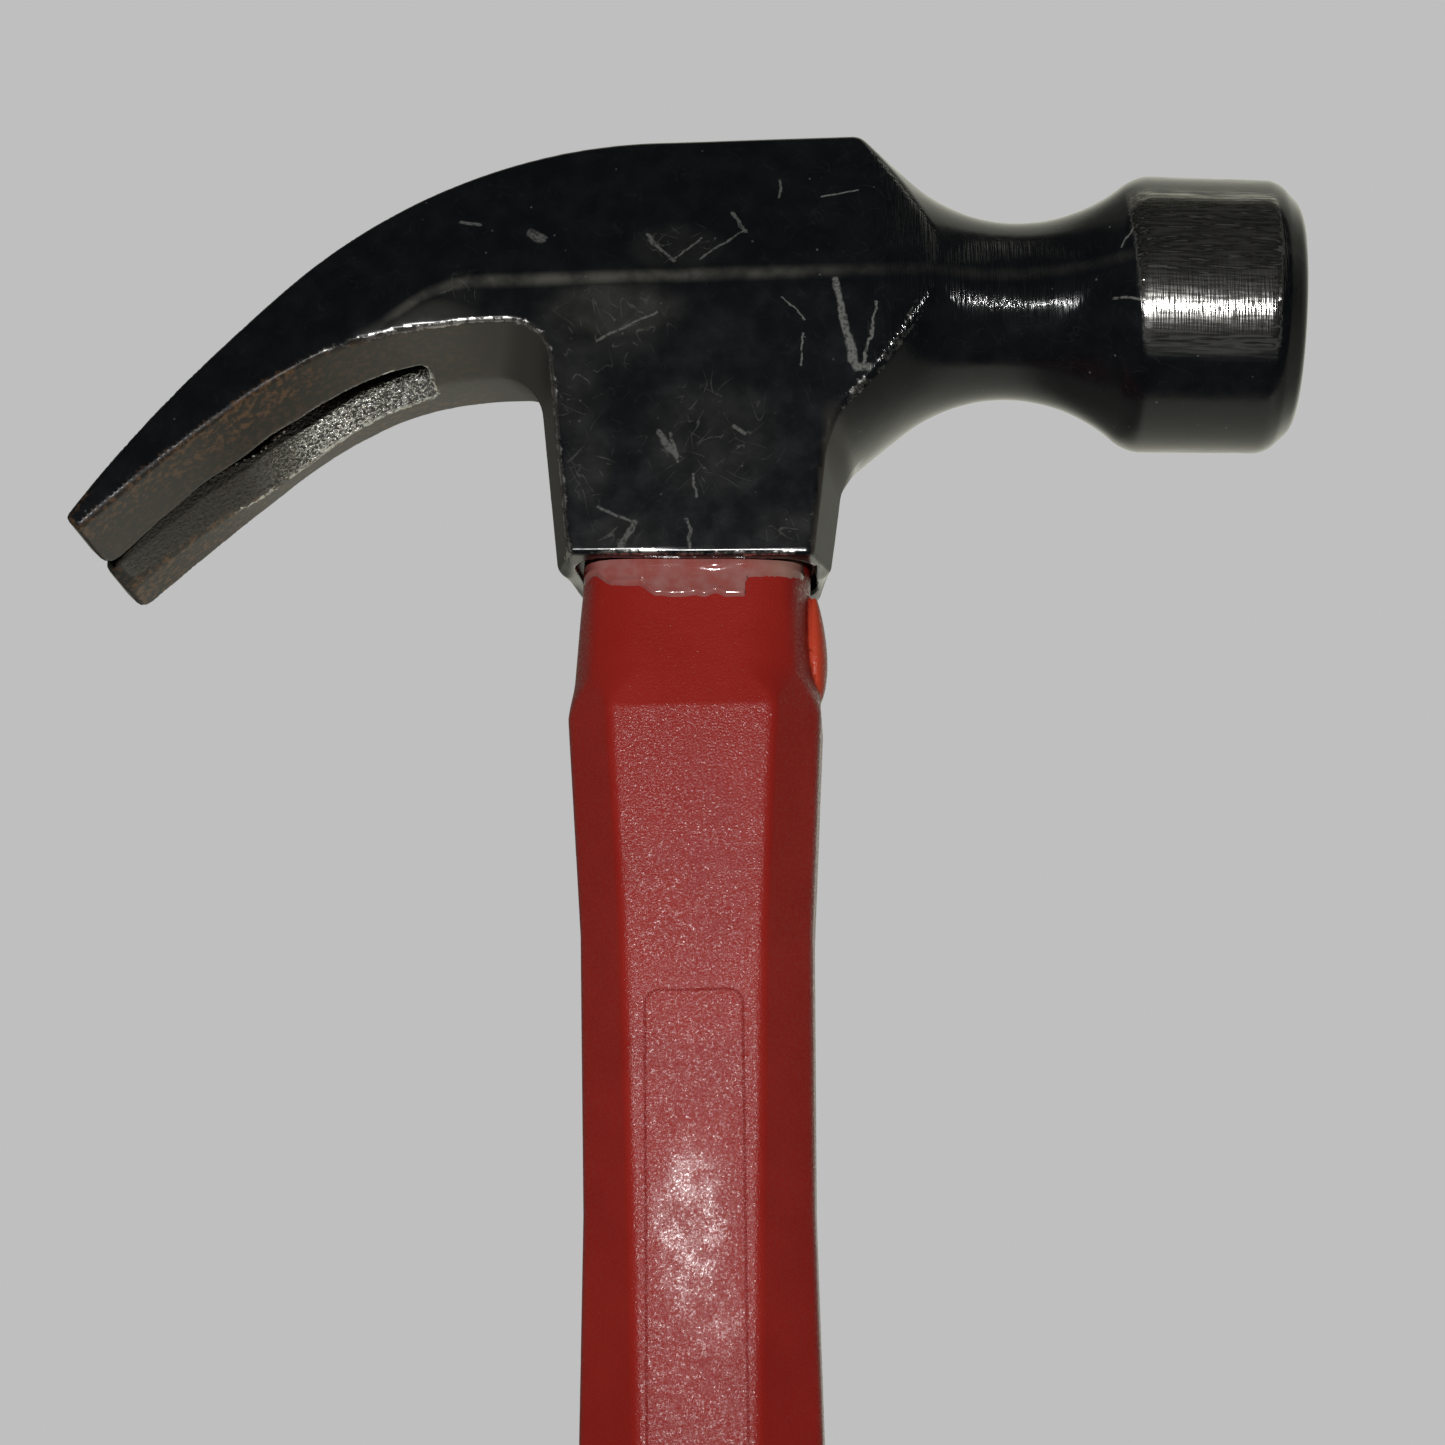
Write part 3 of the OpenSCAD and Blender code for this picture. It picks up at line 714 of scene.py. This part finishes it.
def ridge_highlight_and_haze(look, patchy, zones):
    """A painted highlight along the ridge, which dips on the claws, and scratch haze with painted sheen below
    it.
    """
    dip = look.times(look.math("POWER", look.ramp(look.x, -36.0, -20.0, 16.0, 0.0), 2.0), 0.0245)
    line = look.band(look.math("ADD", look.z, dip), -0.4, 1.1)
    line = look.times(line, look.ramp(look.x, -37.0, -27.0), look.ramp(look.x, -4.0, 24.0, 1.0, 0.2))
    # Below the ridge: partly the haze of fine scratches, partly painted sheen.
    sheen = look.near(-28.0, -4.5, 7.0, 3.0)
    sheen = look.times(sheen, look.ramp(look.math("ADD", look.z, dip), -0.4, -2.0), 0.3)
    sheen = look.most(sheen, look.times(look.near(-8.0, -4.0, 9.0, 4.0), patchy, 0.5))
    line = look.times(line, look.ramp(patchy, 0.3, 0.65, 0.35, 1.0))
    return look.most(line, look.times(zones, patchy, 0.2), sheen)


def rust_cover(look, under, corroded):
    """Blotches of rust under the claws, most of them on the back claw and along the front edge."""
    front_edge = look.times(look.ramp(look.y, -7.5, -10.0), look.ramp(look.x, -36.0, -42.0), 0.7)
    rusty = look.most(look.ramp(look.y, 4.0, 7.0), front_edge, 0.25)
    rust = look.most(look.times(under, rusty), look.times(corroded, 0.4))
    rust = look.times(rust, look.ramp(look.x, -20.0, -26.0))
    blotches = look.noise(0.8, 5.0, 14.0, rough=0.65)
    return look.times(rust, look.ramp(blotches, 0.46, 0.62))


def steel():
    """Black forged steel: rubbed edges and bell, scratches, rust under the claws, a raw ground nail slot."""
    look = Look("forged_steel")
    wear, corroded, under = (look.given(name) for name in ("wear", "corroded", "under"))
    slot, gap, bell, lathe = (look.given(name) for name in ("slot", "gap", "bell", "lathe"))
    patchy = look.noise(3.0, 4.0, 1.0)
    fine = look.noise(0.35, 3.0, 2.0)
    hairs = look.most(look.hairs(1.7, 11.0, 0.5), look.hairs(1.5, 23.0, -0.7), look.hairs(1.6, 31.0, 1.3))
    zones = 0.08
    for spot in CLUSTERS:
        zones = look.most(zones, look.near(*spot))
    large = scratch_marks(look)
    small = look.times(hairs, zones, 0.55)
    dots = look.times(look.specks(2.6, 0.16, 4.0), 0.6)
    marks = look.times(look.most(large, small, dots), look.ramp(fine, 0.3, 0.55, 0.15, 1.0))
    highlight_and_haze = ridge_highlight_and_haze(look, patchy, zones)
    ragged = look.times(look.math("SUBTRACT", look.noise(0.8, 4.0, 9.0), 0.5), 2.4)
    edge = look.ramp(look.math("ADD", wear, ragged), 0.55, 0.95)
    edge = look.times(edge, look.ramp(wear, 0.0, 0.2))
    brushed = look.noise(0.3, 4.0, 5.0, (14.0, 1.0, 1.0), TILT)
    rubbed = look.times(bell, look.ramp(brushed, 0.35, 0.65, 0.14, 1.0))
    rust = rust_cover(look, under, corroded)

    black = look.mix(look.ramp(patchy, 0.3, 0.75), FORGED_DARK, FORGED_PALE)
    earthy = look.mix(look.ramp(look.x, -46.0, -28.0), EARTHY_DARK, EARTHY_PALE)
    colour = look.mix(look.most(under, slot), black, earthy)
    colour = look.mix(look.times(rust, 0.7), colour, RUST)
    # Painted highlight along the ridge, over scratch haze with painted sheen.
    colour = look.mix(look.times(highlight_and_haze, 0.75), colour, RIDGE_HIGHLIGHT_HAZE)
    colour = look.mix(look.times(marks, look.ramp(look.x, 8.0, 14.0, 0.5, 0.8)), colour, SCRATCHED)
    raw = look.times(slot, look.ramp(look.x, -50.0, -38.0, 0.04, 1.0), look.ramp(fine, 0.4, 0.52, 0.12, 1.0))
    # No ground steel where shadow is painted deep in the slot.
    raw = look.times(raw, look.ramp(gap, 0.0, 1.0, 1.0, 0.0))
    bare = look.most(edge, rubbed, raw)
    colour = look.mix(look.times(bell, 0.7), colour, BELL_WORN)
    # Painted shadow deep in the slot, where the front claw hides the flash.
    colour = look.mix(look.times(gap, 0.9), colour, SLOT_SHADOW_PAINT)
    colour = look.mix(bare, colour, BARE_STEEL)
    colour = look.mix(look.ramp(raw, 0.4, 0.9), colour, GROUND_STEEL)
    look.set("Base Color", colour)
    look.set("Metallic", look.ramp(bare, 0.0, 0.3, 0.0, 0.97))

    dull = look.ramp(patchy, 0.3, 0.7, 0.18, 0.24)
    dull = look.value(look.most(lathe, bell), dull, look.ramp(bell, 0.0, 1.0, 0.13, 0.17))
    rougher = [look.times(mask, amount) for mask, amount in ((edge, 0.33), (under, 0.52), (corroded, 0.6))]
    look.set("Roughness", look.most(dull, *rougher))
    look.set("Specular IOR Level", look.ramp(lathe, 0.0, 1.0, 0.28, 0.9))

    turning = look.noise(0.16, 2.0, 6.0, (1.0, 40.0, 40.0))
    turning = look.times(turning, lathe, look.ramp(bell, 0.0, 1.0, 1.0, 0.2))
    rings = look.bump(turning, 1.0, 0.0003)
    dents = look.bump(look.noise(2.5, 3.0, 8.0), 0.4, 0.00006, rings)
    grit = look.times(look.noise(0.4, 2.0, 12.0), look.ramp(raw, 0.0, 1.0, 0.12, 1.0), slot)
    look.set("Normal", look.bump(grit, 1.0, 0.0008, dents))
    return look.material


def label_distance(look):
    """The distance that label_edge gives near the panel's outline, made of nodes."""
    u = look.math("ADD", look.math("ABSOLUTE", look.math("ADD", look.x, SHIFT)), LABEL_CORNER - LABEL_HALF)
    v = look.math("ABSOLUTE", look.math("ADD", look.z, LABEL_L / 2 - LABEL_TOP))
    v = look.math("ADD", v, LABEL_CORNER - LABEL_L / 2)
    u, v = look.most(u, 0.0), look.most(v, 0.0)
    reach = look.math("SQRT", look.math("ADD", look.times(u, u), look.times(v, v)))
    return look.math("SUBTRACT", reach, LABEL_CORNER)


def red_plastic():
    """Moulded red plastic with a stippled skin, polished by thumbs in one place."""
    look = Look("red_jacket")
    tone = look.noise(9.0, 3.0, 1.0)
    colour = look.mix(look.ramp(tone, 0.3, 0.7), RED_DARK, RED_PALE)
    outline = look.band(label_distance(look), 0.0, 0.26)
    # Painted shade along the label's groove, on the front only.
    colour = look.mix(look.times(outline, look.ramp(look.y, -8.0, -9.0), 0.5), colour, RED_GROOVE_SHADE)
    colour = look.mix(look.given("lump"), colour, RED_FLASH)
    dust = look.times(look.specks(5.0, 0.2, 2.0), look.ramp(look.noise(6.0, 1.0, 4.0), 0.5, 0.55))
    colour = look.mix(look.times(dust, 0.7), colour, RED_DUST)
    look.set("Base Color", colour)

    stipple = look.noise(0.3, 2.0, 5.0)
    thumbed = look.most(look.near(-0.8, -98.5, 5.0, 11.0), look.times(look.near(1.5, -107.0, 3.5, 5.0), 0.6))
    thumbed = look.times(thumbed, look.ramp(look.noise(2.2, 3.0, 17.0), 0.3, 0.65, 0.2, 1.0))
    plain = look.ramp(stipple, 0.52, 0.66, 0.44, 0.18)
    polished = look.ramp(stipple, 0.4, 0.6, 0.28, 0.15)
    look.set("Roughness", look.most(look.value(thumbed, plain, polished), look.times(outline, 0.9)))
    grains = look.ramp(stipple, 0.36, 0.68, 0.07, 0.26)
    look.set("Specular IOR Level", look.times(grains, look.ramp(outline, 0.0, 0.8, 1.0, 0.0)))
    look.set("Coat Weight", 0.1)
    look.set("Coat Roughness", 0.14)

    broad = look.bump(look.noise(1.6, 2.0, 8.0), 0.5, 0.00003)
    pits = look.times(look.noise(0.2, 2.0, 7.0), look.ramp(thumbed, 0.0, 1.0, 1.0, 0.5))
    relief = look.bump(pits, 1.0, 0.00007, broad)
    look.set("Normal", relief)
    look.set("Coat Normal", relief)
    return look.material


def cast_resin():
    """Milky resin, wet looking, tinted by the red under it."""
    look = Look("cast_resin")
    milk = look.noise(2.4, 3.0, 3.0)
    colour = look.mix(look.ramp(milk, 0.35, 0.7), RESIN_CLEAR, RESIN_MILKY)
    colour = look.mix(look.ramp(look.x, 5.0, 9.5, 0.0, 0.6), colour, RESIN_GREY)
    look.set("Base Color", colour)
    look.set("Roughness", look.ramp(milk, 0.3, 0.7, 0.08, 0.16))
    look.set("Normal", look.bump(look.noise(0.8, 2.0, 6.0), 0.35, 0.00004))
    return look.material


def fibreglass():
    """Pale glass fibres bound in resin, running along the rod."""
    look = Look("fibreglass")
    fibres = look.noise(0.25, 3.0, 2.0, (1.0, 1.0, 40.0))
    look.set("Base Color", look.mix(look.ramp(fibres, 0.35, 0.65), FIBRE_DARK, FIBRE_PALE))
    look.set("Roughness", look.ramp(fibres, 0.3, 0.7, 0.3, 0.5))
    look.set("Normal", look.bump(fibres, 0.4, 0.00003))
    return look.material


def black_rubber():
    """Matt black rubber with a pebbled skin, rubbed paler in patches."""
    look = Look("black_rubber")
    pebbles = look.noise(0.7, 3.0, 4.0)
    worn = look.ramp(look.noise(11.0, 4.0, 2.0), 0.45, 0.7, 0.0, 0.6)
    look.set("Base Color", look.mix(worn, RUBBER_NEW, RUBBER_WORN))
    look.set("Roughness", look.ramp(pebbles, 0.3, 0.7, 0.5, 0.68))
    look.set("Specular IOR Level", 0.35)
    look.set("Normal", look.bump(pebbles, 0.6, 0.00012))
    return look.material


# ---------------------------------------------------------------- building

def curvature(field, points, reach):
    """Positive on convex edges and negative in hollows."""
    total = -6.0 * field(*points.T)
    for k in range(3):
        for sign in (-reach, reach):
            moved = points.copy()
            moved[:, k] += sign
            total += field(*moved.T)
    return total / reach ** 2


HEAD_GRID, JACKET_GRID, TAIL_GRID, FILM_GRID, GRIP_GRID = 0.45, 0.5, 1.0, 0.25, 0.65    # cells, in mm
UNDER_WEAR, MOUTH_WEAR, LIP_WEAR, CONE_WEAR = 0.9, 0.85, 0.85, 0.7    # how far each edge is rubbed
MARGIN = 1.5                  # how far past the ends of a shape its grid reaches, in mm
HEAD_FROM = (HEAD_LOW[0] - 1, HEAD_LOW[1] - 1, MOUTH - MARGIN)
HEAD_TO = (HEAD_HIGH[0] + 1, HEAD_HIGH[1] + 1, UPPER + 1)


def bell_wear(x, z):
    """1 on the bell's rubbed band, between its shoulder and its chamfer."""
    s, t = along_poll(x, z)
    lean = 0.12 * t
    band = step(s, BELL_X - 0.1 - lean, BELL_X + 0.3 - lean) * (1 - step(s, FACE_X - 3.3, FACE_X - 3.0))
    return band * step(t, -9.5, -5.0) * (1 - step(t, 7.5, 10.5))


def handled_edges(x, y, z):
    """How far the edges are rubbed bright round the underside, the socket's mouth and the slot's far lip."""
    under = UNDER_WEAR * step(underside(x, y, z), -1.3, -0.6) * step(x, -44.0, -32.0)
    mouth = MOUTH_WEAR * step(-z, -MOUTH - 1.6, -MOUTH - 1.0)
    mouth = mouth * step(-y, 7.5, 9.0) * (1 - step(np.abs(x), 9.5, 12.0))
    lip = LIP_WEAR * step(-nail_slot(x, y, z), -0.7, -0.3) * step(y, 0.0, 1.0)
    lip = lip * step(x, -56.0, -50.0) * (1 - step(x, -36.0, -28.0))
    return np.maximum(np.maximum(under, mouth), lip)


def cone_edge(x, z):
    """How far the edge is rubbed where the neck's cone cuts the cheeks, below the ridge line."""
    return CONE_WEAR * step(x, 14.5, 16.0) * (1 - step(x, 26.0, 28.0)) * step(-z, 2.0, 4.5)


def make_head():
    """The forging, with masks from 0 to 1 that tell its steel where each kind of surface is and where shadow
    is painted in the slot.
    """
    points, quads = surface(head_field, HEAD_FROM, HEAD_TO, HEAD_GRID)
    x, y, z = points.T
    normals = unit(gradient(head_field, points, 0.15))
    turn = curvature(head_field, points, 0.3)
    bend = step(turn, 0.6, 1.6)
    under_claws = underside(x, y, z)
    in_slot = step(-nail_slot(x, y, z), -0.3, -0.05)
    wall = step(right_wall(x, y, z), -0.35, -0.1) * step(-z, 14.0, 19.0) * (1 - step(x, 15.5, 18.0))
    below = step(under_claws, -0.35, -0.1) * (1 - step(x, 8.0, 10.0))
    masks = {
        "wear": np.maximum(bend * handled_edges(x, y, z), step(turn, 0.45, 1.0) * cone_edge(x, z)),
        "corroded": bend * (1 - step(x, -47.0, -37.0)) * step(under_claws, -3.0, -2.0),
        "under": np.maximum(below, wall),
        "slot": in_slot,
        # Where shadow is painted: deep in the slot, past the front claw's edge.
        "gap": in_slot * step(-under_claws, 3.0, 3.5),
        "bell": bell_wear(x, z),
        "lathe": step(x, 17.0, 22.0) * step(np.abs(normals[:, 1]), 0.85, 0.96),
    }
    made = piece("head_forging", points, quads, steel(), normals, masks)
    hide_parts("head")


def make_jacket():
    """The jacket in two lengths: a fine mesh that shows, and a coarse one hidden in the grip."""
    red = red_plastic()
    wide, deep = 15, 12.5
    low, high = (-wide, -deep, JACKET_SPLIT), (wide, deep, JACKET_TOP + MARGIN)
    points, quads = surface(jacket_field, low, high, JACKET_GRID)
    masks = {"lump": (points[:, 2] > LUMP_FROM) * step(-flash_lump(*points.T), -0.35, 0.0)}
    skin = piece("jacket_skin", points, quads, red, unit(gradient(jacket_field, points, 0.1)), masks)
    low, high = (-wide, -deep, JACKET_LOW - MARGIN), (wide, deep, JACKET_SPLIT - SPLIT_GAP)
    points, quads = surface(jacket_field, low, high, TAIL_GRID)
    tail = piece("jacket_tail", points, quads, red, unit(gradient(jacket_field, points, 0.1)))
    for made in (skin, tail):
        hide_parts("handle_jacket")


def make_film():
    low, high = (-14, -11, FILM_LOW - MARGIN), (14, 11, FILM_TOP + MARGIN)
    points, quads = surface(film_field, low, high, FILM_GRID)
    made = piece("resin_film", points, quads, cast_resin(), unit(gradient(film_field, points, 0.05)))
    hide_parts("resin_run")


def make_grip():
    low, high = (-18, -15.5, -RIDGE_Z - 1), (18, 15.5, GRIP_Z[-1] + MARGIN - RIDGE_Z)
    points, quads = surface(grip_field, low, high, GRIP_GRID)
    made = piece("grip_sleeve", points, quads, black_rubber(), unit(gradient(grip_field, points, 0.2)))
    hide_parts("grip")


def finish_cad(node, material):
    """Gives a CAD node that keeps its own mesh a new material."""
    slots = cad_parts[node].data.materials
    slots.clear()
    slots.append(material)


make_head()
make_jacket()
make_film()
make_grip()
finish_cad("eye_resin", cast_resin())
finish_cad("core_rod", fibreglass())


# ---------------------------------------------------------------- floor, light and camera

FLOOR_RADIUS, FLOOR_SIDES = 2.5, 96       # metres
# The soft light's strength by direction: axis, from, to, and the strengths at those two. The rows multiply.
SOFT_LIGHT = (("Y", 0.03, 0.13, 0.02, 0.92), ("X", -0.35, 0.0, 0.2, 1.0), ("X", 0.4, 0.85, 1.0, 0.35))
SOFT_COLOUR, BACKDROP = (1.0, 1.0, 0.86, 1.0), (0.521, 0.521, 0.521, 1.0)
FLASH_AT, FLASH_AIM = (-0.017, -0.305, 0.2316), (0.0, 0.0, 0.29)
FLASH_SIZE, FLASH_POWER = 0.007, 0.9      # metres and watts
CAMERA_AT = (0.01726, -0.31014, 0.18744)  # metres
CAMERA_TURN, CAMERA_TILT, CAMERA_ROLL = 2.744, 14.52, -0.615     # degrees
CAMERA_LENS, SENSOR = 76.48, 36.0         # mm


def paper():
    look = Look("floor_paper")
    look.set("Base Color", PAPER)
    look.set("Roughness", 0.9)
    return look.material


def make_floor():
    """A round floor that shows, but takes no part in lighting the hammer."""
    mesh = bpy.data.meshes.new("floor")
    angles = np.linspace(0, 2 * math.pi, FLOOR_SIDES, endpoint=False)
    ring = [(FLOOR_RADIUS * math.cos(a), FLOOR_RADIUS * math.sin(a), 0.0) for a in angles]
    mesh.from_pydata(ring, [], [list(range(FLOOR_SIDES))])
    mesh.materials.append(paper())
    floor = bpy.data.objects.new("floor", mesh)
    floor.visible_glossy = False
    floor.visible_diffuse = False
    bpy.context.scene.collection.objects.link(floor)


def make_world():
    """Soft light from behind, weaker at both sides, and an even grey that only the camera sees."""
    world = bpy.data.worlds.new("studio")
    bpy.context.scene.world = world
    world.use_nodes = True
    tree = world.node_tree
    tree.nodes.clear()
    output = tree.nodes.new("ShaderNodeOutputWorld")
    direction = tree.nodes.new("ShaderNodeTexCoord")
    split = tree.nodes.new("ShaderNodeSeparateXYZ")
    tree.links.new(direction.outputs["Generated"], split.inputs[0])
    strength = tree.nodes.new("ShaderNodeMath")      # full strength, before the rows
    strength.operation = "MULTIPLY"
    strength.inputs[0].default_value = 1.0
    strength.inputs[1].default_value = 1.0
    for axis, *values in SOFT_LIGHT:
        ramp = tree.nodes.new("ShaderNodeMapRange")
        ramp.interpolation_type = "SMOOTHSTEP"
        for number, value in zip(ramp.inputs[1:5], values):
            number.default_value = value
        tree.links.new(split.outputs[axis], ramp.inputs[0])
        product = tree.nodes.new("ShaderNodeMath")
        product.operation = "MULTIPLY"
        tree.links.new(strength.outputs[0], product.inputs[0])
        tree.links.new(ramp.outputs[0], product.inputs[1])
        strength = product
    soft = tree.nodes.new("ShaderNodeBackground")
    soft.inputs["Color"].default_value = SOFT_COLOUR
    tree.links.new(strength.outputs[0], soft.inputs["Strength"])
    seen = tree.nodes.new("ShaderNodeBackground")
    seen.inputs["Color"].default_value = BACKDROP
    rays = tree.nodes.new("ShaderNodeLightPath")
    choice = tree.nodes.new("ShaderNodeMixShader")
    tree.links.new(rays.outputs["Is Camera Ray"], choice.inputs[0])
    tree.links.new(soft.outputs[0], choice.inputs[1])
    tree.links.new(seen.outputs[0], choice.inputs[2])
    tree.links.new(choice.outputs[0], output.inputs["Surface"])


def make_light(name, place, aim, size, power):
    data = bpy.data.lights.new(name, "AREA")
    data.shape = "DISK"
    data.size = size
    data.energy = power
    light = bpy.data.objects.new(name, data)
    light.location = place
    light.rotation_euler = (Vector(aim) - Vector(place)).to_track_quat("-Z", "Y").to_euler()
    bpy.context.scene.collection.objects.link(light)


def make_camera():
    data = bpy.data.cameras.new("camera")
    data.sensor_width = SENSOR
    data.lens = CAMERA_LENS
    camera = bpy.data.objects.new("camera", data)
    turn = Matrix.Rotation(math.radians(CAMERA_TURN), 4, "Z")
    tilt = Matrix.Rotation(math.radians(90.0 + CAMERA_TILT), 4, "X")
    roll = Matrix.Rotation(math.radians(CAMERA_ROLL), 4, "Z")
    camera.matrix_world = Matrix.Translation(CAMERA_AT) @ turn @ tilt @ roll
    bpy.context.scene.collection.objects.link(camera)
    bpy.context.scene.camera = camera


make_floor()
make_world()
make_light("flash", FLASH_AT, FLASH_AIM, FLASH_SIZE, FLASH_POWER)
make_camera()
bpy.context.scene.view_settings.view_transform = "Standard"
